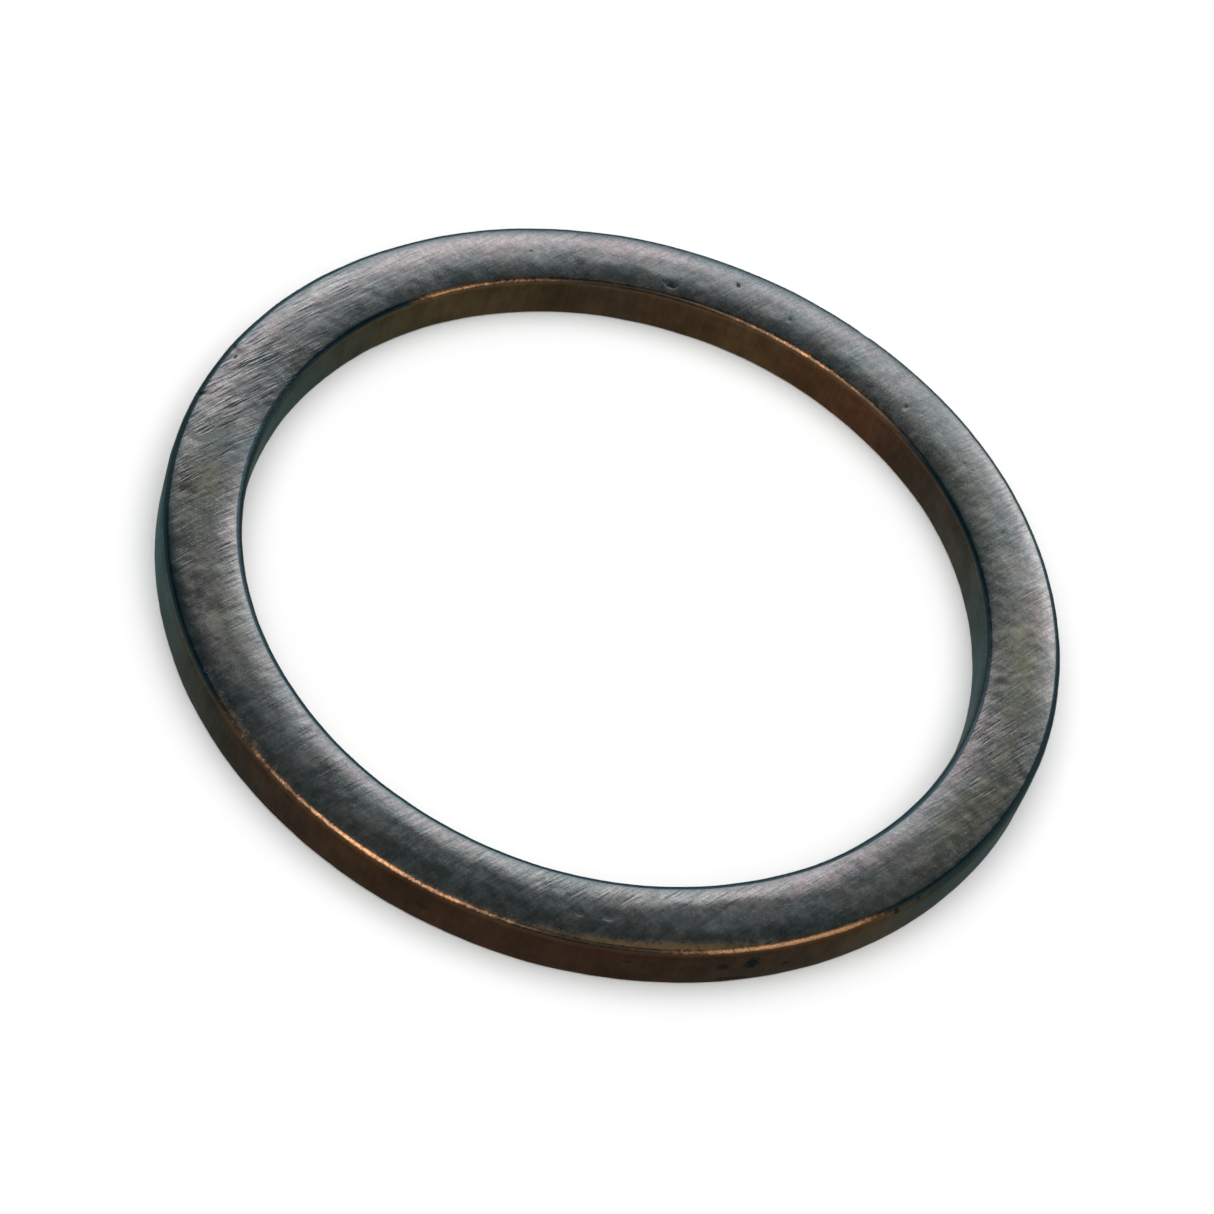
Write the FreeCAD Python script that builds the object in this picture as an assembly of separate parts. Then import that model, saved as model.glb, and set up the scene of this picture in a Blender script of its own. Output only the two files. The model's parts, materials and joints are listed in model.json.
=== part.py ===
"""Flat copper sealing washer, nominal size 22 x 27 x 1.5 mm.

One solid ring, blanked from copper sheet and then tumbled. The row frame has +Z along
the bore's axis, and its origin is the bore's centre on the underside, so the washer
lies on Z = 0. The upper side is the die side: the punch has drawn its edges down into
a low dome with broad edge rounds. The underside is flatter, and its edges are nearly
sharp. Lengths are in millimetres and angles in degrees.
"""
import FreeCAD, Part
import math
import os

# Driving dimensions.
BORE_DIAMETER = 22.2       # clears an M22 thread
RIM_DIAMETER = 26.9
THICKNESS = 1.5            # over the two flat lands

UPPER_LAND = 0.20          # radial width of the upper side's flat land
UPPER_SLOPE = 10.0         # the dome's slope where it runs into the edge round
UPPER_EDGE_ROUND = 0.25    # radius from the dome into the wall

UNDER_LAND = 1.30
UNDER_SLOPE = 6.0
UNDER_EDGE_ROUND = 0.05

# What follows from them.
BORE_RADIUS = BORE_DIAMETER / 2
RIM_RADIUS = RIM_DIAMETER / 2
MIDDLE_RADIUS = (BORE_RADIUS + RIM_RADIUS) / 2
HALF_WIDTH = (RIM_RADIUS - BORE_RADIUS) / 2

AXIS_POINT = FreeCAD.Vector(0, 0, 0)
AXIS = FreeCAD.Vector(0, 0, 1)
FULL_TURN = 360.0


def quarter(land, slope, edge_round):
    """One quarter of the section, from its middle line out to the wall.

    Returns named points as (distance from the middle line, depth below the land).
    """
    steep = math.radians(slope)
    land_end = land / 2
    dome_end = HALF_WIDTH - edge_round * (1 - math.sin(steep))
    dome_radius = (dome_end - land_end) / math.sin(steep)
    dome_drop = dome_radius * (1 - math.cos(steep))
    round_drop = dome_drop + edge_round * math.cos(steep)
    half_way = (steep + math.pi / 2) / 2
    return {
        "land_end": (land_end, 0.0),
        "dome_middle": (
            land_end + dome_radius * math.sin(steep / 2),
            dome_radius * (1 - math.cos(steep / 2)),
        ),
        "dome_end": (dome_end, dome_drop),
        "round_middle": (
            HALF_WIDTH - edge_round * (1 - math.sin(half_way)),
            round_drop - edge_round * math.cos(half_way),
        ),
        "wall_start": (HALF_WIDTH, round_drop),
    }


def placed(point, outward, upper):
    """A quarter's point in the X-Z plane: outward is 1 towards the rim and -1 towards the bore."""
    across, depth = point
    height = THICKNESS - depth if upper else depth
    return FreeCAD.Vector(MIDDLE_RADIUS + outward * across, 0, height)


def side_edges(points, outward, upper):
    """The dome and the edge round of one quarter, as two tangent arcs."""
    at = {name: placed(point, outward, upper) for name, point in points.items()}
    dome = Part.Arc(at["land_end"], at["dome_middle"], at["dome_end"])
    edge_round = Part.Arc(at["dome_end"], at["round_middle"], at["wall_start"])
    return [dome.toShape(), edge_round.toShape()]


def line(start, end):
    return Part.LineSegment(start, end).toShape()


def section():
    """The ring's section, as a closed face in the X-Z plane."""
    upper = quarter(UPPER_LAND, UPPER_SLOPE, UPPER_EDGE_ROUND)
    under = quarter(UNDER_LAND, UNDER_SLOPE, UNDER_EDGE_ROUND)
    edges = []
    for points, is_upper in ((upper, True), (under, False)):
        land_ends = [placed(points["land_end"], side, is_upper) for side in (-1, 1)]
        edges.append(line(*land_ends))
        for outward in (-1, 1):
            edges += side_edges(points, outward, is_upper)
    for outward in (-1, 1):
        foot = placed(under["wall_start"], outward, False)
        head = placed(upper["wall_start"], outward, True)
        edges.append(line(foot, head))
    return Part.Face(Part.Wire(Part.__sortEdges__(edges)))


def washer():
    ring = section().revolve(AXIS_POINT, AXIS, FULL_TURN)
    solid = Part.Solid(ring.Shells[0]) if ring.ShapeType != "Solid" else ring
    if not solid.isValid() or solid.Volume <= 0:
        raise RuntimeError("the ring is not a valid solid")
    return solid


def main():
    os.makedirs("parts", exist_ok=True)
    ring = washer()
    ring.exportStep("parts/copper_ring.step")
    box = ring.optimalBoundingBox()
    print(f"copper_ring: {box.XLength:.3f} x {box.YLength:.3f} x {box.ZLength:.3f} mm")
    print(f"copper_ring: volume {ring.Volume:.3f} mm3, {len(ring.Faces)} faces")


main()
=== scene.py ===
"""The looks of a flat copper sealing washer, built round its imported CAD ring.

The row frame has +Z along the bore's axis and the washer's underside on Z = 0. The
ring's own sizes below are in millimetres and degrees, and an angle round the ring runs
from +X towards +Y. Blender's lengths are metres, so MM turns one into the other.
"""
import json
import math
from collections import namedtuple

import bpy
import numpy as np
from mathutils import Matrix, Vector


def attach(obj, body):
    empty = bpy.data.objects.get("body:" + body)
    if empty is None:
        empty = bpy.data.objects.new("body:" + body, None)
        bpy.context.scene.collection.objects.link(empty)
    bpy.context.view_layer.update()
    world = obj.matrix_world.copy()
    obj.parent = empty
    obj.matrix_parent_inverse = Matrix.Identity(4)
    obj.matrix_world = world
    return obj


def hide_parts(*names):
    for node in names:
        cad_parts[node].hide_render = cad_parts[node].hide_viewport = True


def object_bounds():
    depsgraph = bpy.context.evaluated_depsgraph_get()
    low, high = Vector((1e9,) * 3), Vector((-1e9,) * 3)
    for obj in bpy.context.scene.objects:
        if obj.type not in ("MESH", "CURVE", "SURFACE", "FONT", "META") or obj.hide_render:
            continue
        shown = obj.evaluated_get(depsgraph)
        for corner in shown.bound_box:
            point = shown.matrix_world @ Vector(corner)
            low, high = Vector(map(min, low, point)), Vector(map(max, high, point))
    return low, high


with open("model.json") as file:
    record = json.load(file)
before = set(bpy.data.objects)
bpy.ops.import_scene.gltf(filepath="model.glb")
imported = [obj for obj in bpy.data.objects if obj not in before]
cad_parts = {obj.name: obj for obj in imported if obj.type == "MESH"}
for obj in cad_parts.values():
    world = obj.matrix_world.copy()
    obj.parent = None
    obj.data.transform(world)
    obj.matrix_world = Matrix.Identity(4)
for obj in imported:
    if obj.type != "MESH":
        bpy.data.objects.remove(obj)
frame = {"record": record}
CAD_LOW, CAD_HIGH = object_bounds()

MM = 0.001
SEED = 2227
ROUNDING = 1e-6    # how far off zero a wall's slope may be

# The ring's size, from the frame.
BORE = next(m for m in frame["record"]["mounts"] if m["name"] == "bore")
BORE_RADIUS = BORE["dims"]["r_mm"]
RIM_RADIUS = CAD_HIGH.x / MM
THICKNESS = CAD_HIGH.z / MM
MIDDLE_RADIUS = (BORE_RADIUS + RIM_RADIUS) / 2
HALF_WIDTH = (RIM_RADIUS - BORE_RADIUS) / 2

# The section's two sides: the width of the flat land, the slope where the dome meets the
# edge round, and the edge round's radius, each with the steps that its dome and its
# round are drawn with.
Side = namedtuple("Side", "land slope edge_round dome_steps round_steps")
UPPER = Side(land=0.20, slope=10.0, edge_round=0.25, dome_steps=9, round_steps=8)
UNDER = Side(land=1.30, slope=6.0, edge_round=0.05, dome_steps=4, round_steps=4)
WALL_STEPS = 4
AROUND_STEPS = 1536

# How far each edge is rubbed towards bare copper, from 0 to 1, at angles round the ring. On the
# rim and the bore the amounts follow how brightly each stretch glints, so they are part wear and
# part painted highlight; where they are low, the edge keeps its painted shade.
RIM_WEAR_AND_GLINT = {
    224: 0.0, 230: 0.22, 235: 0.35, 240: 0.45, 245: 0.51, 250: 0.65, 256: 0.70, 260: 0.52,
    266: 0.49, 270: 0.41, 275: 0.20, 289: 0.18, 295: 0.44, 300: 0.73, 306: 1.0, 316: 1.0,
    321: 0.0,
}
BORE_WEAR_AND_GLINT = {
    50: 0.0, 55: 0.20, 65: 0.30, 70: 0.46, 75: 0.58, 80: 0.38, 85: 0.28, 90: 0.22,
    95: 0.15, 112: 0.15, 117: 0.28, 121: 0.43, 130: 0.60, 136: 0.90, 142: 0.0,
}
UNDER_WEAR = {
    10: 0.0, 30: 0.8, 90: 0.7, 110: 0.0, 145: 0.0, 165: 0.6, 200: 0.6, 225: 0.0,
    245: 0.0, 265: 0.8, 325: 0.7, 345: 0.0,
}

# Each wall's colour at angles round the ring, browner or bluer, darker or lighter from one stretch
# to the next.
RIM_WALL_TINTS = {
    0: (0.120, 0.150, 0.145), 45: (0.130, 0.080, 0.052), 130: (0.140, 0.078, 0.048),
    170: (0.140, 0.120, 0.095), 200: (0.130, 0.240, 0.235), 217: (0.130, 0.120, 0.085),
    232: (0.115, 0.074, 0.045), 250: (0.130, 0.068, 0.035), 285: (0.108, 0.052, 0.031),
    303: (0.110, 0.060, 0.032), 318: (0.175, 0.096, 0.038), 330: (0.100, 0.100, 0.068),
    345: (0.095, 0.132, 0.125),
}
BORE_WALL_TINTS = {
    10: (0.170, 0.230, 0.230), 28: (0.160, 0.132, 0.096), 45: (0.112, 0.076, 0.050),
    62: (0.205, 0.092, 0.044), 82: (0.210, 0.118, 0.052), 104: (0.130, 0.080, 0.045),
    135: (0.180, 0.118, 0.052), 152: (0.145, 0.115, 0.060), 164: (0.110, 0.128, 0.092),
    180: (0.095, 0.140, 0.135), 210: (0.150, 0.120, 0.085), 270: (0.140, 0.080, 0.050),
}

# Patches on the upper face, and the same again on the underside. Each has its centre, its
# half-lengths round and across the ring, and how strongly it shows.
# The dark ones are painted shade along the edges, the light ones painted light, and the ones that
# darken the face by a share are painted shade too. Lilac ones are a pink tint that is partly
# painted light on the dome's lit bands, scored ones have more scratches, and the olive and brown
# ones are tints.
Patch = namedtuple("Patch", "angle radius round_half across_half amount")
PATCHES = {
    "olive": (
        Patch(8, 12.2, 16, 0.9, 0.9), Patch(45, 11.9, 14, 0.5, 0.5),
        Patch(194, 12.5, 7, 0.7, 1.0), Patch(214, 12.2, 9, 0.5, 0.8),
        Patch(340, 12.6, 14, 0.6, 0.9),
    ),
    # A pink tint that lies on the dome's lit bands, so partly painted light.
    "lilac": (
        Patch(104, 12.9, 10, 0.5, 1.0), Patch(128, 12.8, 16, 0.6, 1.0),
        Patch(168, 12.9, 14, 0.6, 0.7), Patch(202, 11.5, 10, 0.4, 0.7),
        Patch(250, 11.5, 24, 0.35, 0.5), Patch(316, 11.6, 14, 0.5, 1.0),
        Patch(348, 11.5, 12, 0.5, 0.7), Patch(70, 12.9, 16, 0.5, 0.5),
        Patch(22, 13.0, 14, 0.5, 0.5),
    ),
    # Painted shade: dark bands along the edges of the rim and the bore.
    "dark": (
        Patch(208, 13.25, 15, 0.20, 1.0), Patch(226, 13.05, 12, 0.12, 0.5),
        Patch(338, 13.35, 12, 0.14, 0.8), Patch(34, 11.22, 14, 0.16, 0.9),
        Patch(151, 11.22, 9, 0.13, 0.9), Patch(105, 13.42, 60, 0.38, 1.0),
        Patch(268, 11.15, 50, 0.24, 1.0),
    ),
    # Painted light: places on the face and its edges made paler.
    "light": (
        Patch(30, 13.16, 24, 0.20, 1.0), Patch(194, 13.12, 10, 0.12, 0.6),
        Patch(202, 11.38, 14, 0.15, 0.7), Patch(296, 11.70, 20, 0.30, 0.35),
        Patch(262, 11.45, 22, 0.15, 0.30), Patch(138, 12.9, 24, 0.3, 0.45),
        Patch(180, 12.9, 12, 0.3, 0.3), Patch(212, 12.75, 12, 0.35, 0.50),
        Patch(0, 11.35, 12, 0.15, 0.5),
    ),
    # Painted shade: places on the face made darker.
    "painted_shade": (
        Patch(38, 12.75, 22, 0.4, 0.9), Patch(90, 12.3, 18, 0.4, 0.8),
        Patch(2, 12.8, 10, 0.4, 0.7), Patch(62, 12.9, 12, 0.4, 0.6),
    ),
    "brown": (
        Patch(291, 13.20, 13, 0.16, 1.0), Patch(262, 13.24, 14, 0.06, 0.4),
        Patch(230, 13.20, 8, 0.10, 0.4), Patch(104, 11.32, 14, 0.06, 0.4),
        Patch(66, 11.30, 14, 0.06, 0.3),
    ),
    "scored": (
        Patch(174, 12.3, 14, 1.5, 1.0), Patch(204, 11.6, 13, 0.4, 0.55),
        Patch(198, 13.0, 12, 0.3, 0.5), Patch(350, 12.3, 14, 1.5, 0.45),
        Patch(150, 12.6, 12, 1.0, 0.4), Patch(284, 11.6, 22, 0.4, 0.6),
        Patch(236, 11.7, 14, 0.5, 0.4), Patch(30, 12.9, 16, 0.6, 0.3),
    ),
}


# ---------------------------------------------------------------- the ring's mesh

def half_side(side):
    """One side of the section, from its middle line out to the wall.

    Each point is (distance from the middle, depth below the land, slope in degrees).
    """
    steep = math.radians(side.slope)
    land_end = side.land / 2
    dome_end = HALF_WIDTH - side.edge_round * (1 - math.sin(steep))
    dome_radius = (dome_end - land_end) / math.sin(steep)
    dome_drop = dome_radius * (1 - math.cos(steep))
    points = [(0.0, 0.0, 0.0)]
    for step in range(side.dome_steps + 1):
        slope = steep * step / side.dome_steps
        points.append((
            land_end + dome_radius * math.sin(slope),
            dome_radius * (1 - math.cos(slope)),
            math.degrees(slope),
        ))
    for step in range(1, side.round_steps + 1):
        slope = steep + (math.pi / 2 - steep) * step / side.round_steps
        points.append((
            HALF_WIDTH - side.edge_round * (1 - math.sin(slope)),
            dome_drop + side.edge_round * (math.cos(steep) - math.cos(slope)),
            math.degrees(slope),
        ))
    return points


def section():
    """The closed section, as rows of (radius, height, outward tilt in degrees).

    The tilt is the normal's angle from +Z towards the rim, so -90 is the bore's wall.
    It runs over the upper side from bore to rim, down the rim's wall, and back below.
    """
    rows = []
    for side, top in ((UPPER, True), (UNDER, False)):
        half = half_side(side)
        inner = [(-across, depth, -slope) for across, depth, slope in reversed(half[1:])]
        across_side = inner + half
        if not top:
            across_side.reverse()
        for across, depth, slope in across_side:
            height = THICKNESS - depth if top else depth
            rows.append((MIDDLE_RADIUS + across, height, slope if top else 180 - slope))
        start = rows[-1]
        end_depth = half_side(UNDER if top else UPPER)[-1][1]
        end_height = end_depth if top else THICKNESS - end_depth
        for step in range(1, WALL_STEPS):
            height = start[1] + (end_height - start[1]) * step / WALL_STEPS
            rows.append((start[0], height, start[2]))
    return np.array(rows)


# How uneven the skin is: waves of some height and about one length, in millimetres.
Swell = namedtuple("Swell", "height wavelength count seed")
SWELLS = (
    Swell(0.0060, 5.0, 24, 1),
    Swell(0.0022, 1.3, 40, 2),
    Swell(0.0010, 0.5, 60, 3),
)
WAVE_SPREAD = (0.7, 1.5)     # the shortest and the longest wave, in wavelengths


def waves(points, swell):
    """A smooth uneven field of unit size: waves of about one length, in all directions."""
    draw = np.random.default_rng(SEED + swell.seed)
    total = np.zeros(len(points))
    for _ in range(swell.count):
        direction = draw.normal(size=3)
        direction /= np.linalg.norm(direction)
        length = swell.wavelength * draw.uniform(*WAVE_SPREAD)
        total += np.cos(points @ direction * math.tau / length + draw.uniform(0, math.tau))
    return total * math.sqrt(2 / swell.count)


# Dents in the upper side, longest along a heading that runs from +X towards +Y.
Dent = namedtuple("Dent", "angle radius height heading length width depth")
DENTS = (
    Dent(169.2, 13.05, 1.42, 60, 0.30, 0.06, 0.040),
    Dent(168.4, 13.20, 1.40, 120, 0.18, 0.06, 0.035),
    Dent(177.5, 13.25, 1.40, 40, 0.14, 0.06, 0.035),
    Dent(70.0, 13.38, 1.34, 150, 0.16, 0.07, 0.040),
    Dent(97.9, 11.58, 1.45, 20, 0.16, 0.10, 0.014),
    Dent(88.3, 12.50, 1.50, 10, 0.09, 0.07, 0.016),
    Dent(79.3, 12.10, 1.50, 70, 0.09, 0.07, 0.016),
    Dent(57.1, 12.00, 1.50, 30, 0.09, 0.07, 0.016),
    Dent(280.4, 12.52, 1.50, 58, 0.12, 0.08, 0.012),
    Dent(284.0, 12.49, 1.50, 58, 0.12, 0.08, 0.012),
)


def dented(points):
    """How deep each point is pressed in by the dents, in millimetres."""
    depth = np.zeros(len(points))
    for dent in DENTS:
        turn = math.radians(dent.angle)
        centre = np.array([
            dent.radius * math.cos(turn), dent.radius * math.sin(turn), dent.height,
        ])
        heading = math.radians(dent.heading)
        along = np.array([math.cos(heading), math.sin(heading), 0.0])
        offset = points - centre
        run = offset @ along
        aside = np.linalg.norm(offset - run[:, None] * along, axis=1)
        depth += dent.depth * np.exp(-(run / dent.length) ** 2 - (aside / dent.width) ** 2)
    return depth


def turn_between(angles, centre):
    """The signed angle from the centre to each angle, from -180 to 180."""
    return (angles - centre + 180) % 360 - 180


def round_ring(stops, angles):
    """Values at angles round the ring, run straight between the named stops."""
    named = sorted(stops)
    return np.interp(angles, named, [stops[stop] for stop in named], period=360)


def patched(patches, angles, radii):
    """How strongly the patches cover each place, given its angle and its radius."""
    cover = np.zeros(len(angles))
    for patch in patches:
        around = turn_between(angles, patch.angle) / patch.round_half
        across = (radii - patch.radius) / patch.across_half
        cover += patch.amount * np.exp(-around ** 2 - across ** 2)
    return np.clip(cover, 0, 1)


def wall_tints(colours, angles):
    """The wall's colour at each angle."""
    channels = [
        round_ring({stop: colour[channel] for stop, colour in colours.items()}, angles)
        for channel in range(3)
    ]
    return np.stack(channels + [np.ones(len(angles))], axis=1)


def store(mesh, name, values):
    kind, field = ("FLOAT", "value") if values.ndim == 1 else ("FLOAT_COLOR", "color")
    layer = mesh.attributes.new(name, kind, "POINT")
    layer.data.foreach_set(field, values.astype(np.float32).ravel())


def paint(mesh, rows, angles):
    """Give each point what the material needs: its slope, its wear and its patches."""
    radii = np.tile(rows[:, 0], AROUND_STEPS)
    tilts = np.tile(np.radians(rows[:, 2]), AROUND_STEPS)
    outside = radii > MIDDLE_RADIUS
    above = np.cos(tilts) > -ROUNDING
    upper_wear_and_glint = np.where(outside, round_ring(RIM_WEAR_AND_GLINT, angles), round_ring(BORE_WEAR_AND_GLINT, angles))
    wear = np.where(above, upper_wear_and_glint, round_ring(UNDER_WEAR, angles))
    walls = np.where(outside[:, None], wall_tints(RIM_WALL_TINTS, angles), wall_tints(BORE_WALL_TINTS, angles))
    store(mesh, "lean", np.degrees(np.arccos(np.abs(np.cos(tilts)))))
    store(mesh, "wear", wear)
    store(mesh, "wall_tints", walls)
    for name, patches in PATCHES.items():
        store(mesh, name, patched(patches, angles, radii))


UV_STRIPS = 3
UV_GAP = 0.01      # left empty round each strip, as a share of its length and width


def lay_out(mesh, rows):
    """Lay the ring's skin out flat for baking, as long strips that fill the square."""
    count = len(rows)
    ends = np.roll(rows[:, :2], -1, axis=0)
    run = np.concatenate([[0.0], np.cumsum(np.linalg.norm(ends - rows[:, :2], axis=1))])
    run /= run[-1]
    turn, row = np.divmod(np.arange(AROUND_STEPS * count), count)
    strip, place = np.divmod(turn * UV_STRIPS, AROUND_STEPS)
    step = UV_STRIPS / AROUND_STEPS
    left = place / AROUND_STEPS
    filled = 1 - 2 * UV_GAP
    corners = np.empty((AROUND_STEPS * count, 4, 2))
    for corner, (onward, beside) in enumerate(((0, 0), (1, 0), (1, 1), (0, 1))):
        corners[:, corner, 0] = UV_GAP + (left + onward * step) * filled
        corners[:, corner, 1] = (strip + UV_GAP + run[row + beside] * filled) / UV_STRIPS
    layer = mesh.uv_layers.new(name="OFBake")
    layer.data.foreach_set("uv", corners.astype(np.float32).ravel())


def ring_points(rows, turns):
    """The ring's points, turn by turn: the section, made uneven and dented."""
    tilt = np.radians(rows[:, 2])
    cos_turn = np.cos(turns)[:, None]
    sin_turn = np.sin(turns)[:, None]

    def swept(across, up):
        up = np.broadcast_to(up, (AROUND_STEPS, len(rows)))
        return np.stack([across * cos_turn, across * sin_turn, up], axis=2).reshape(-1, 3)

    points = swept(rows[:, 0], rows[:, 1])
    normals = swept(np.sin(tilt), np.cos(tilt))
    rise = sum(swell.height * waves(points, swell) for swell in SWELLS)
    points = points + normals * (rise - dented(points))[:, None]

    # Nothing may stand out past the CAD's box.
    return np.clip(points, np.array(CAD_LOW) / MM, np.array(CAD_HIGH) / MM)


def ring_quads(count):
    """The faces between neighbouring turns, for a section of count points."""
    quads = []
    for turn in range(AROUND_STEPS):
        after = (turn + 1) % AROUND_STEPS
        for row in range(count):
            beside = (row + 1) % count
            quads.append((
                turn * count + row, after * count + row,
                after * count + beside, turn * count + beside,
            ))
    return quads


def ring_mesh():
    rows = section()
    turns = np.arange(AROUND_STEPS) * math.tau / AROUND_STEPS
    mesh = bpy.data.meshes.new("copper_washer")
    mesh.from_pydata((ring_points(rows, turns) * MM).tolist(), [], ring_quads(len(rows)))
    mesh.update()
    mesh.polygons.foreach_set("use_smooth", [True] * len(mesh.polygons))
    paint(mesh, rows, np.degrees(np.repeat(turns, len(rows))))
    lay_out(mesh, rows)
    return mesh


# ---------------------------------------------------------------- material nodes

SEED_STEP = (7.3, 3.1, 5.7)      # how far apart two seeds' noises are taken from
NOISE_MIDDLE = 0.5
NOISE_ENDS = (0.30, 0.70)        # most of a noise's values lie between these
FINE_NOISE_ENDS = (0.28, 0.72)


class Nodes:
    """Short calls for building one material's node tree."""

    def __init__(self, tree):
        self.tree = tree

    def put(self, socket, value):
        if isinstance(value, bpy.types.NodeSocket):
            self.tree.links.new(value, socket)
        else:
            socket.default_value = value

    def add(self, kind, inputs=None, **settings):
        node = self.tree.nodes.new("ShaderNode" + kind)
        for name, value in settings.items():
            setattr(node, name, value)
        for name, value in (inputs or {}).items():
            self.put(node.inputs[name], value)
        return node

    def math(self, operation, *values):
        return self.add("Math", dict(enumerate(values)), operation=operation).outputs[0]

    def total(self, *values):
        result = values[0]
        for value in values[1:]:
            result = self.math("ADD", result, value)
        return result

    def times(self, *values):
        result = values[0]
        for value in values[1:]:
            result = self.math("MULTIPLY", result, value)
        return result

    def attribute(self, name, output="Fac"):
        return self.add("Attribute", attribute_name=name).outputs[output]

    def mapping(self, vector, move=(0, 0, 0), turn=0.0, scale=(1, 1, 1), kind="POINT"):
        node = self.add("Mapping", {"Vector": vector}, vector_type=kind)
        node.inputs["Location"].default_value = move
        node.inputs["Rotation"].default_value = (0, 0, math.radians(turn))
        node.inputs["Scale"].default_value = scale
        return node.outputs["Vector"]

    def noise(self, vector, seed, scale=1.0, detail=2.0, roughness=0.5):
        """Noise whose features are 1/scale long, in a place of its own for each seed."""
        moved = self.mapping(vector, move=tuple(seed * step for step in SEED_STEP))
        return self.add("TexNoise", {
            "Vector": moved, "Scale": scale, "Detail": detail, "Roughness": roughness,
        }).outputs["Fac"]

    def spread(self, value, low, high, to_low=0.0, to_high=1.0):
        """value's stretch from low to high, eased into to_low to to_high and clamped."""
        return self.add("MapRange", {
            "Value": value, "From Min": low, "From Max": high,
            "To Min": to_low, "To Max": to_high,
        }, interpolation_type="SMOOTHSTEP").outputs["Result"]

    def varied(self, noise, least, most, ends=NOISE_ENDS):
        """A factor that follows a noise, from least to most."""
        return self.spread(noise, *ends, least, most)

    def most(self, *values):
        result = values[0]
        for value in values[1:]:
            result = self.math("MAXIMUM", result, value)
        return result

    def mix(self, share, a, b, blend="MIX"):
        """From colour a to colour b, by the node's colour sockets 6, 7 and 2."""
        node = self.add("Mix", data_type="RGBA", blend_type=blend)
        self.put(node.inputs["Factor"], share)
        for socket, value in ((node.inputs[6], a), (node.inputs[7], b)):
            self.put(socket, (*value, 1.0) if isinstance(value, tuple) else value)
        return node.outputs[2]

    def between(self, share, a, b):
        """From number a to number b, by the node's number sockets 2, 3 and 0."""
        node = self.add("Mix", {2: a, 3: b}, data_type="FLOAT")
        self.put(node.inputs["Factor"], share)
        return node.outputs[0]

    def shaded(self, colour, factor):
        """The colour made lighter or darker by a factor."""
        grey = self.add("CombineColor", {0: factor, 1: factor, 2: factor}).outputs[0]
        return self.mix(1.0, colour, grey, "MULTIPLY")


SLATE = (0.205, 0.240, 0.248)
STEEL = (0.248, 0.252, 0.256)
# LILAC is a pink tint, brighter than the slate: partly painted light where it lies on the lit
# bands.
LILAC = (0.350, 0.290, 0.305)
OLIVE = (0.245, 0.240, 0.180)
PALE = (0.520, 0.480, 0.480)
BROWN = (0.380, 0.240, 0.110)
UMBER = (0.110, 0.072, 0.042)
BARE_COPPER = (0.960, 0.505, 0.270)
# BLUE_BLACK is painted shade, for the dark bands along the edges.
BLUE_BLACK = (0.028, 0.078, 0.098)
# NIGHT_BLUE is painted shade on the edge rounds.
NIGHT_BLUE = (0.017, 0.046, 0.060)
SOOT = (0.022, 0.026, 0.030)
GRAZING_TINT = (0.62, 0.76, 0.78)    # the film of tarnish, seen nearly edge on

# Slopes in degrees over which a zone of the section, or what lies on it, comes in or goes out.
WALL_IN = (42, 58)
TONE_IN = (8.5, 14)
RUB_IN, RUB_OUT = (8.5, 13), (50, 38)
BROWN_OUT = (20, 10)

# Noise values over which steel takes over from slate, and loose patches come in.
STEEL_IN = (0.35, 0.65)
PATCH_IN = (0.30, 0.62)
PATCH_SHOW = (0.35, 1.0)    # how strongly a patch shows, at its thinnest and its fullest

# How far an edge has to be rubbed, or browned, for its colours to come in. The ragged
# field frays the first range of each pair, and the second keeps the fraying in bounds.
UMBER_IN = (0.0, 0.25)
WORN_FRAYED_IN, WORN_IN = (0.22, 0.98), (0.05, 0.25)
BROWN_FRAYED_IN, BROWN_IN = (0.0, 1.0), (0.02, 0.30)

# How fully each one covers what lies below it.
COVER = {
    "light_strokes": 0.60, "dark_strokes": 0.75, "dark": 0.85, "tone": 0.90, "brown": 0.90,
    "soil": 0.92,
}

# The darkest and the lightest that each uneven field makes what it shades.
SHADE = {
    "mottle": (0.85, 1.15), "grit": (0.86, 1.14), "hairs": (0.74, 1.28),
    "fine_hairs": (0.80, 1.22), "wall_cloud": (0.80, 1.22), "wall_blotch": (0.88, 1.12),
    "drawn": (0.92, 1.08), "copper_grit": (0.8, 1.1),
}
PAINTED_SHADE_KEEPS = 0.78    # the share of its brightness that the face keeps under painted shade

FACE_ROUGHNESS = (0.23, 0.30)
ROUGHNESS = {"wall": 0.36, "brown": 0.45, "worn": 0.25, "soil": 0.60}

# Heights in millimetres.
RELIEF = {
    "mottle": 0.0024, "grit": 0.0016, "hairs": 0.0045, "fine_hairs": 0.0022,
    "dark_strokes": -0.0050, "light_strokes": 0.0030, "drawn": 0.0020, "soil": -0.006,
}

# Scratches in the face run close to the way that the sheet was brushed. Each kind has its
# turn from that heading, and the length and width of one in millimetres.
SCRATCH_HEADING = 58.0     # from +X towards +Y
Scratch = namedtuple("Scratch", "seed turn length width")
HAIRS = Scratch(5, 0, 1.3, 0.085)
FINE_HAIRS = Scratch(6, -3, 0.7, 0.050)
DARK_STROKES = (Scratch(7, -2, 0.85, 0.060), Scratch(9, 3, 0.50, 0.050))
LIGHT_STROKES = (Scratch(8, 1, 0.90, 0.055), Scratch(11, -4, 0.55, 0.050))
HAIR_FLATTENING = 0.1      # how fast hairs change with height, in cycles per millimetre

# How strongly hairs and strokes show, away from the scored patches and within them.
HAIR_SHOW = (0.35, 1.0)
STROKE_SHOW = (0.10, 1.0)

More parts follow.
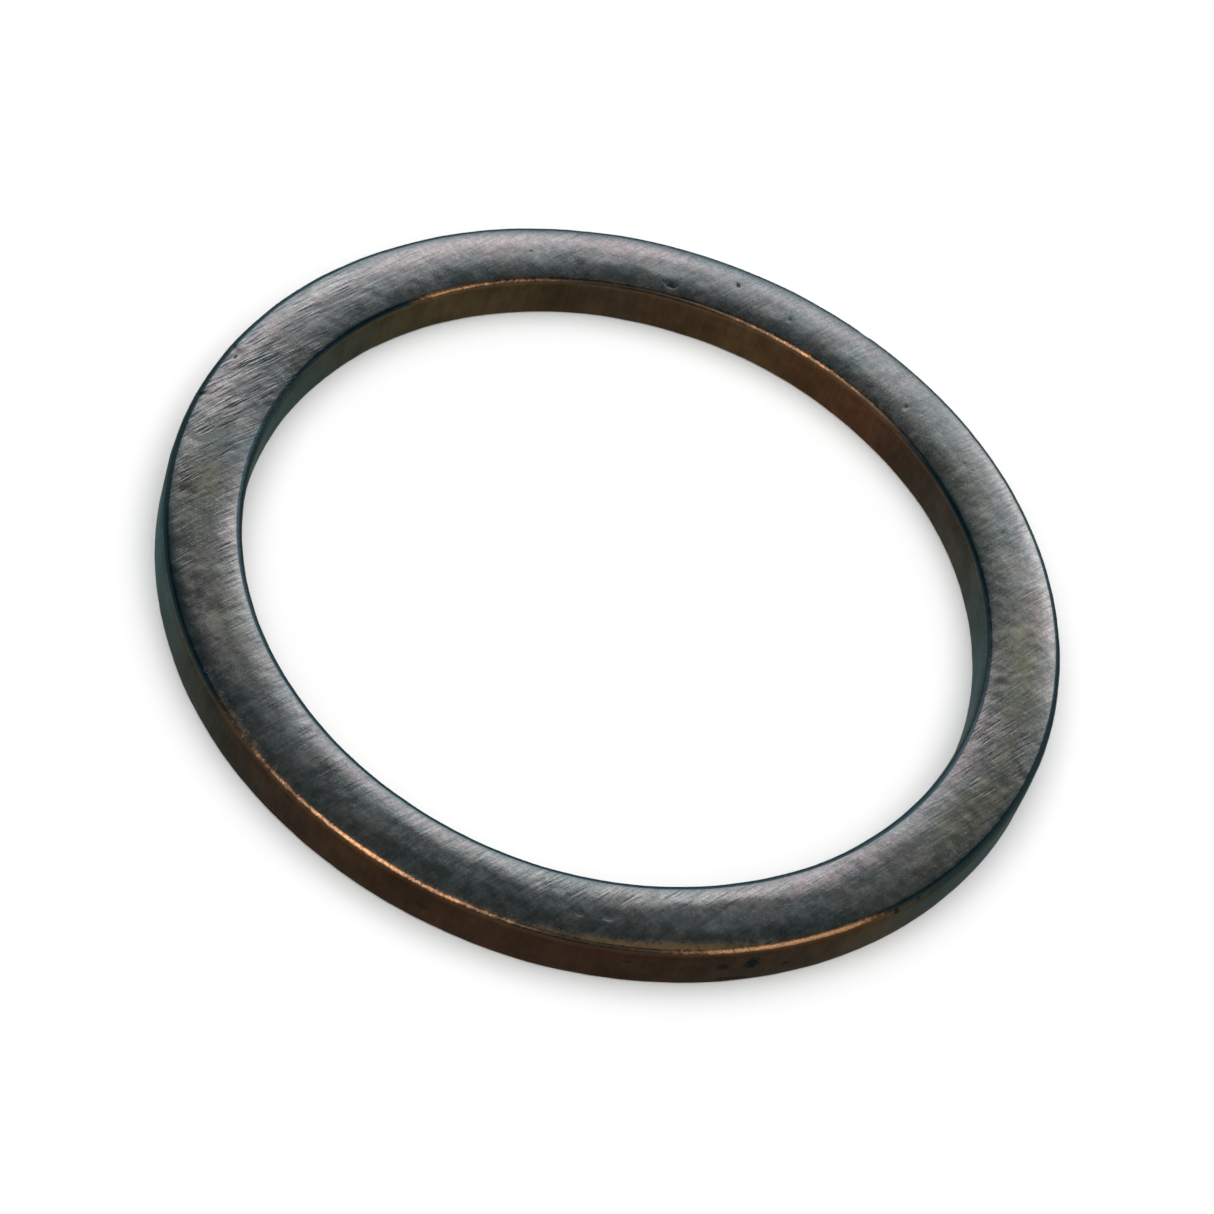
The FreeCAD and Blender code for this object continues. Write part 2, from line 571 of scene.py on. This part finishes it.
# Each stroke lies in a cell of its own.
STROKE_SHARE = 0.6           # this share of the cells has one
CELL_FILL = 0.4              # a stroke's length and width, as shares of its cell's
CELL_STEP = (3.7, 1.9, 0)    # how far apart two seeds' cells are taken from
STROKE_FADE = (0.08, 0.30)   # where a stroke starts to fade and is gone, in cells


def brushed(nodes, place, hair):
    """Fine lines that run on into each other, all one way."""
    turned = nodes.mapping(place, turn=-(SCRATCH_HEADING + hair.turn))
    scale = (1 / hair.length, 1 / hair.width, HAIR_FLATTENING)
    return nodes.noise(nodes.mapping(turned, scale=scale), hair.seed, detail=1.0)


def stroked(nodes, place, stroke):
    """Separate scratches of about one length and width, fading out from their middles."""
    turned = nodes.mapping(place, turn=-(SCRATCH_HEADING + stroke.turn))
    in_cells = nodes.mapping(
        turned, move=tuple(stroke.seed * step for step in CELL_STEP),
        scale=(CELL_FILL / stroke.length, CELL_FILL / stroke.width, 0))
    cells = nodes.add("TexVoronoi", {"Vector": in_cells, "Scale": 1.0}, voronoi_dimensions="2D")
    line = nodes.spread(cells.outputs["Distance"], *STROKE_FADE, 1.0, 0.0)
    pick = nodes.add("SeparateColor", {0: cells.outputs["Color"]}).outputs[0]
    return nodes.times(line, nodes.spread(pick, 1 - STROKE_SHARE, 1 - STROKE_SHARE * 0.5))


# Dark spots: pits on the face and the rim's edge, and stains on the walls. Each has its
# centre, its half-sizes round, across and up, and how dark it is.
Spot = namedtuple("Spot", "angle radius height around across tall strength")
SPOTS = (
    Spot(97.9, 11.60, 1.45, 0.22, 0.11, 0.4, 1.0), Spot(88.3, 12.50, 1.5, 0.09, 0.08, 0.3, 0.8),
    Spot(79.3, 12.10, 1.5, 0.06, 0.05, 0.3, 0.6), Spot(57.1, 12.00, 1.5, 0.07, 0.05, 0.3, 0.6),
    Spot(119.1, 12.32, 1.5, 0.07, 0.05, 0.3, 0.6), Spot(169.4, 13.05, 1.4, 0.10, 0.05, 0.3, 0.7),
    Spot(280.4, 12.52, 1.5, 0.12, 0.07, 0.3, 0.4), Spot(284.0, 12.49, 1.5, 0.14, 0.07, 0.3, 0.4),
    Spot(222.4, 13.17, 1.4, 0.07, 0.13, 0.3, 0.9), Spot(225.7, 13.08, 1.4, 0.09, 0.06, 0.3, 0.7),
    Spot(227.2, 13.20, 1.4, 0.06, 0.10, 0.3, 0.8), Spot(230.6, 13.13, 1.4, 0.05, 0.06, 0.3, 0.7),
    Spot(232.4, 13.22, 1.4, 0.05, 0.12, 0.3, 0.8), Spot(238.4, 13.19, 1.4, 0.05, 0.05, 0.3, 0.6),
    Spot(321.9, 13.36, 1.3, 0.12, 0.12, 0.1, 0.9), Spot(325.5, 13.33, 1.3, 0.15, 0.12, 0.1, 0.9),
    Spot(302.2, 13.45, 0.90, 0.24, 0.3, 0.26, 1.0), Spot(298.6, 13.45, 0.80, 0.22, 0.3, 0.18, 0.7),
    Spot(306.9, 13.45, 0.60, 0.08, 0.3, 0.08, 0.8), Spot(300.5, 13.45, 0.20, 0.55, 0.3, 0.08, 0.7),
    Spot(287.0, 13.45, 0.95, 0.14, 0.3, 0.06, 0.5), Spot(262.0, 13.45, 0.70, 0.20, 0.3, 0.12, 0.4),
    Spot(36.0, 13.45, 0.60, 0.30, 0.3, 0.20, 0.7), Spot(131.0, 13.45, 0.85, 0.24, 0.3, 0.12, 0.7),
    Spot(212.0, 11.10, 0.50, 0.25, 0.3, 0.15, 0.6), Spot(247.0, 11.10, 0.90, 0.16, 0.3, 0.10, 0.7),
)
SPOT_FADE = (0.6, 1.2)     # where a spot's darkness starts to go and is gone, in half-sizes
SPOT_RAGGED = 2.0          # how far the mottle moves that, in half-sizes


def spotted(nodes, place, mottle):
    """Where the spots are, from 0 to 1, with outlines made uneven by the mottle."""
    ragged = nodes.times(nodes.total(mottle, -NOISE_MIDDLE), SPOT_RAGGED)
    spots = []
    for spot in SPOTS:
        turn = math.radians(spot.angle)
        centre = (spot.radius * math.cos(turn), spot.radius * math.sin(turn), spot.height)
        own = nodes.mapping(place, move=centre, turn=spot.angle, kind="TEXTURE",
                            scale=(spot.across, spot.around, spot.tall))
        distance = nodes.add("VectorMath", {0: own}, operation="LENGTH").outputs["Value"]
        away = nodes.total(distance, ragged)
        spots.append(nodes.spread(away, *SPOT_FADE, spot.strength, 0.0))
    return nodes.most(*spots)


Zones = namedtuple("Zones", "lean wear on_wall on_face on_edge")
Fields = namedtuple("Fields", "cloud blotch mottle grit drawn")
Marks = namedtuple("Marks", "hairs fine_hairs hair_show dark_strokes light_strokes")


def find_zones(nodes):
    """The face, the edge round and the wall, told apart by the slope."""
    lean = nodes.attribute("lean")
    on_wall = nodes.spread(lean, *WALL_IN)
    return Zones(
        lean=lean, wear=nodes.attribute("wear"), on_wall=on_wall,
        on_face=nodes.math("SUBTRACT", 1.0, on_wall),
        on_edge=nodes.times(nodes.spread(lean, *RUB_IN), nodes.spread(lean, *RUB_OUT)),
    )


def make_fields(nodes, place):
    """Uneven fields, from coarse to fine, and the upright lines drawn down the walls."""
    return Fields(
        cloud=nodes.noise(place, 1, scale=0.7, detail=3.0),
        blotch=nodes.noise(place, 2, scale=2.2, detail=4.0, roughness=0.6),
        mottle=nodes.noise(place, 3, scale=7.5, detail=2.5, roughness=0.6),
        grit=nodes.noise(place, 4, scale=17.0, detail=2.0, roughness=0.6),
        drawn=nodes.noise(nodes.mapping(place, scale=(9, 9, 0.7)), 10, detail=2.0),
    )


def make_marks(nodes, place):
    """The face's scratches."""
    stroke_show = nodes.between(nodes.attribute("scored"), *STROKE_SHOW)
    dark, light = (
        nodes.times(nodes.most(*(stroked(nodes, place, kind) for kind in kinds)), stroke_show)
        for kinds in (DARK_STROKES, LIGHT_STROKES)
    )
    return Marks(
        hairs=brushed(nodes, place, HAIRS),
        fine_hairs=brushed(nodes, place, FINE_HAIRS),
        hair_show=nodes.between(nodes.attribute("scored"), *HAIR_SHOW),
        dark_strokes=dark, light_strokes=light,
    )


def face_colour(nodes, fields, marks):
    face = nodes.mix(nodes.spread(fields.cloud, *STEEL_IN), SLATE, STEEL)
    loose = nodes.spread(fields.blotch, *PATCH_IN, *PATCH_SHOW)
    # Olive tints, lilac tints that are partly painted light on the lit bands, and painted light
    # from the light patches.
    for name, tint in (("olive", OLIVE), ("lilac", LILAC), ("light", PALE)):
        face = nodes.mix(nodes.times(nodes.attribute(name), loose), face, tint)
    # Painted shade: the face darkened where those patches lie.
    face = nodes.shaded(face, nodes.between(nodes.attribute("painted_shade"), 1.0, PAINTED_SHADE_KEEPS))
    face = nodes.shaded(face, nodes.varied(fields.mottle, *SHADE["mottle"], FINE_NOISE_ENDS))
    face = nodes.shaded(face, nodes.varied(fields.grit, *SHADE["grit"], FINE_NOISE_ENDS))
    for lines, name in ((marks.hairs, "hairs"), (marks.fine_hairs, "fine_hairs")):
        shade = nodes.varied(lines, *SHADE[name])
        face = nodes.shaded(face, nodes.between(marks.hair_show, 1.0, shade))
    face = nodes.mix(nodes.times(marks.light_strokes, COVER["light_strokes"]), face, PALE)
    face = nodes.mix(nodes.times(marks.dark_strokes, COVER["dark_strokes"]), face, SOOT)
    # Painted shade: the dark bands along the edges, in blue-black.
    return nodes.mix(nodes.times(nodes.attribute("dark"), COVER["dark"]), face, BLUE_BLACK)


def ragged(nodes, fields):
    """An uneven field about zero, which frays the borders of wear and of the brown."""
    weights = ((fields.blotch, 0.8), (fields.mottle, 1.0), (fields.grit, 0.5))
    middle = NOISE_MIDDLE * sum(weight for _, weight in weights)
    return nodes.total(*(nodes.times(field, weight) for field, weight in weights), -middle)


def find_brown(nodes, zones, rag):
    """How brown the edge is: ragged patches beside the rubbed stretches."""
    brown = nodes.attribute("brown")
    frayed = nodes.spread(nodes.total(brown, rag), *BROWN_FRAYED_IN)
    frayed = nodes.times(frayed, nodes.spread(brown, *BROWN_IN))
    return nodes.times(frayed, nodes.spread(zones.lean, *BROWN_OUT), COVER["brown"])


def find_worn(nodes, zones, rag):
    """How far the edge is rubbed to bare copper, by amounts that on the rim and the bore also set
    how brightly it glints.
    """
    rubbed = nodes.times(zones.on_edge, zones.wear)
    frayed = nodes.spread(nodes.total(rubbed, rag), *WORN_FRAYED_IN)
    return nodes.times(frayed, nodes.spread(rubbed, *WORN_IN))


def edge_colour(nodes, face, zones, browned):
    """Night blue, a painted shade, where the edge is left alone, and umber where it is rubbed a
    little.
    """
    tone = nodes.mix(nodes.spread(zones.wear, *UMBER_IN), NIGHT_BLUE, UMBER)
    # The edge round's painted shade comes in with the slope.
    on_tone = nodes.times(nodes.spread(zones.lean, *TONE_IN), COVER["tone"])
    return nodes.mix(browned, nodes.mix(on_tone, face, tone), BROWN)


def wall_colour(nodes, fields):
    wall = nodes.attribute("wall_tints", "Color")
    for field, name in (
        (fields.cloud, "wall_cloud"), (fields.blotch, "wall_blotch"), (fields.drawn, "drawn"),
    ):
        wall = nodes.shaded(wall, nodes.varied(field, *SHADE[name]))
    return wall


def surface_relief(nodes, zones, fields, marks, soil):
    """The heights of what is too fine for the mesh, in millimetres."""
    def raised(name, field, *shares):
        return nodes.times(field, *shares, RELIEF[name])

    relief = nodes.total(
        raised("mottle", fields.mottle), raised("grit", fields.grit),
        raised("hairs", marks.hairs, marks.hair_show),
        raised("fine_hairs", marks.fine_hairs, marks.hair_show),
        raised("dark_strokes", marks.dark_strokes),
        raised("light_strokes", marks.light_strokes),
    )
    relief = nodes.times(relief, zones.on_face)
    return nodes.total(
        relief, raised("drawn", fields.drawn, zones.on_wall), raised("soil", soil))


def aged_copper():
    material = bpy.data.materials.new("aged_copper_worn")
    material.use_nodes = True
    nodes = Nodes(material.node_tree)
    shader = material.node_tree.nodes["Principled BSDF"]
    metres = nodes.add("TexCoord").outputs["Object"]
    place = nodes.mapping(metres, scale=(1 / MM, 1 / MM, 1 / MM))
    zones = find_zones(nodes)
    fields = make_fields(nodes, place)
    marks = make_marks(nodes, place)
    rag = ragged(nodes, fields)
    browned = find_brown(nodes, zones, rag)
    worn = find_worn(nodes, zones, rag)
    soil = spotted(nodes, place, fields.mottle)

    edge = edge_colour(nodes, face_colour(nodes, fields, marks), zones, browned)
    copper = nodes.shaded(BARE_COPPER, nodes.varied(fields.grit, *SHADE["copper_grit"]))
    colour = nodes.mix(zones.on_wall, edge, wall_colour(nodes, fields))
    colour = nodes.mix(worn, colour, copper)
    colour = nodes.mix(nodes.times(soil, COVER["soil"]), colour, SOOT)

    rough = nodes.varied(fields.blotch, *FACE_ROUGHNESS)
    rough = nodes.between(zones.on_wall, rough, ROUGHNESS["wall"])
    rough = nodes.between(nodes.times(browned, zones.on_face), rough, ROUGHNESS["brown"])
    rough = nodes.between(worn, rough, ROUGHNESS["worn"])
    rough = nodes.between(soil, rough, ROUGHNESS["soil"])

    relief = surface_relief(nodes, zones, fields, marks, soil)
    bump = nodes.add("Bump", {"Strength": 1.0, "Distance": MM, "Height": relief})

    nodes.put(shader.inputs["Base Color"], colour)
    nodes.put(shader.inputs["Roughness"], rough)
    nodes.put(shader.inputs["Normal"], bump.outputs["Normal"])
    shader.inputs["Metallic"].default_value = 1.0
    shader.inputs["Specular Tint"].default_value = (*GRAZING_TINT, 1.0)
    return material


FLOOR_HALF = 3.0
FLOOR_GREYS = ((0.86, 0.86, 0.86), (0.90, 0.90, 0.90))


def pale_floor():
    material = bpy.data.materials.new("pale_floor")
    material.use_nodes = True
    nodes = Nodes(material.node_tree)
    shader = material.node_tree.nodes["Principled BSDF"]
    metres = nodes.add("TexCoord").outputs["Object"]
    cloud = nodes.noise(metres, 1, scale=3.0)
    nodes.put(shader.inputs["Base Color"], nodes.mix(cloud, *FLOOR_GREYS))
    shader.inputs["Roughness"].default_value = 0.9
    shader.inputs["Specular IOR Level"].default_value = 0.1
    return material


# ---------------------------------------------------------------- object, floor, light

def link(thing):
    bpy.context.scene.collection.objects.link(thing)
    return thing


def make_washer():
    washer = link(bpy.data.objects.new("copper_washer", ring_mesh()))
    washer.data.materials.append(aged_copper())
    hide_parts("copper_ring")
    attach(washer, "root")
    return washer


def make_floor():
    mesh = bpy.data.meshes.new("floor")
    corners = [
        (x * FLOOR_HALF, y * FLOOR_HALF, 0.0) for x, y in ((-1, -1), (1, -1), (1, 1), (-1, 1))
    ]
    mesh.from_pydata(corners, [], [(0, 1, 2, 3)])
    floor = link(bpy.data.objects.new("floor", mesh))
    mesh.materials.append(pale_floor())
    floor.visible_glossy = False


def heading(azimuth, elevation):
    """The unit vector towards a light. Azimuth 0 is the camera's side and 90 is +X."""
    turn, rise = math.radians(azimuth), math.radians(elevation)
    return Vector((
        math.sin(turn) * math.cos(rise), -math.cos(turn) * math.cos(rise), math.sin(rise),
    ))


LIGHT_DISTANCE = 0.6


def softbox(name, azimuth, elevation, wide, high, radiance, colour=(1, 1, 1)):
    """A rectangular area light, wide and high in degrees as the washer sees it."""
    light = bpy.data.lights.new(name, "AREA")
    light.shape = "RECTANGLE"
    light.size = 2 * LIGHT_DISTANCE * math.tan(math.radians(wide) / 2)
    light.size_y = 2 * LIGHT_DISTANCE * math.tan(math.radians(high) / 2)
    light.energy = radiance * math.pi * light.size * light.size_y
    light.color = colour
    lamp = link(bpy.data.objects.new(name, light))
    away = heading(azimuth, elevation)
    lamp.location = away * LIGHT_DISTANCE
    lamp.rotation_mode = "QUATERNION"
    lamp.rotation_quaternion = away.to_track_quat("Z", "Y")
    lamp.visible_camera = False
    return lamp


WARM = (1.0, 0.92, 0.85)


def make_lights():
    above = softbox("above", 0, 90, 80, 80, 2.15)
    above.visible_glossy = False
    for lamp in (
        softbox("behind", 182, 35.5, 64, 20.5, 1.53),
        softbox("behind_low", 184, 6, 70, 20, 0.60),
        softbox("front_left", -40, 66, 34, 36, 1.6, WARM),
        softbox("front_right", 70, 56, 34, 26, 0.6, WARM),
        softbox("overhead", 0, 90, 30, 30, 0.32),
    ):
        lamp.visible_diffuse = False


BACKDROP = (0.96, 0.96, 0.96)
ROOM_FLOOR = (0.24, 0.25, 0.25)
ROOM_WALLS = (0.42, 0.42, 0.41)
ROOM_CEILING = (0.046, 0.056, 0.052)

# Where the walls and the ceiling come in, as heights on a unit sphere.
WALLS_IN = (-0.15, 0.15)
CEILING_IN = (0.50, 0.72)


def make_world():
    """Pale where the camera sees it, and a room in the washer's reflections.

    The room has a grey floor, paler walls and a dark ceiling.
    """
    world = bpy.data.worlds.new("studio")
    bpy.context.scene.world = world
    world.use_nodes = True
    nodes = Nodes(world.node_tree)
    background = world.node_tree.nodes["Background"]
    way = nodes.add("TexCoord").outputs["Generated"]
    rise = nodes.add("SeparateXYZ", {"Vector": way}).outputs["Z"]
    room = nodes.mix(nodes.spread(rise, *WALLS_IN), ROOM_FLOOR, ROOM_WALLS)
    room = nodes.mix(nodes.spread(rise, *CEILING_IN), room, ROOM_CEILING)
    seen = nodes.add("LightPath").outputs["Is Camera Ray"]
    nodes.put(background.inputs["Color"], nodes.mix(seen, room, BACKDROP))
    background.inputs["Strength"].default_value = 1.0


# The camera looks down along +Y, and is rolled so that the washer leans to the right.
CAMERA_ELEVATION = 49.54
CAMERA_ROLL = 20.42
CAMERA_DISTANCE = 117.77
CAMERA_LENS = 119.85
SENSOR_WIDTH = 36.0
AIM_RIGHT, AIM_UP = 0.420, 1.234   # where the upper face's centre lies in the view, in mm


def make_camera():
    data = bpy.data.cameras.new("camera")
    data.sensor_width = SENSOR_WIDTH
    data.lens = CAMERA_LENS
    data.clip_start, data.clip_end = 0.01, 10.0
    camera = link(bpy.data.objects.new("camera", data))
    back = heading(0, CAMERA_ELEVATION)
    level_right = Vector((1, 0, 0))
    level_up = back.cross(level_right)
    roll = math.radians(CAMERA_ROLL)
    right = level_right * math.cos(roll) + level_up * math.sin(roll)
    up = level_up * math.cos(roll) - level_right * math.sin(roll)
    target = Vector((0, 0, THICKNESS))
    place = target + back * CAMERA_DISTANCE - right * AIM_RIGHT - up * AIM_UP
    turned = Matrix((right, up, back)).transposed().to_4x4()
    camera.matrix_world = Matrix.Translation(place * MM) @ turned
    bpy.context.scene.camera = camera


make_washer()
make_floor()
make_lights()
make_world()
make_camera()
bpy.context.scene.view_settings.view_transform = "Standard"
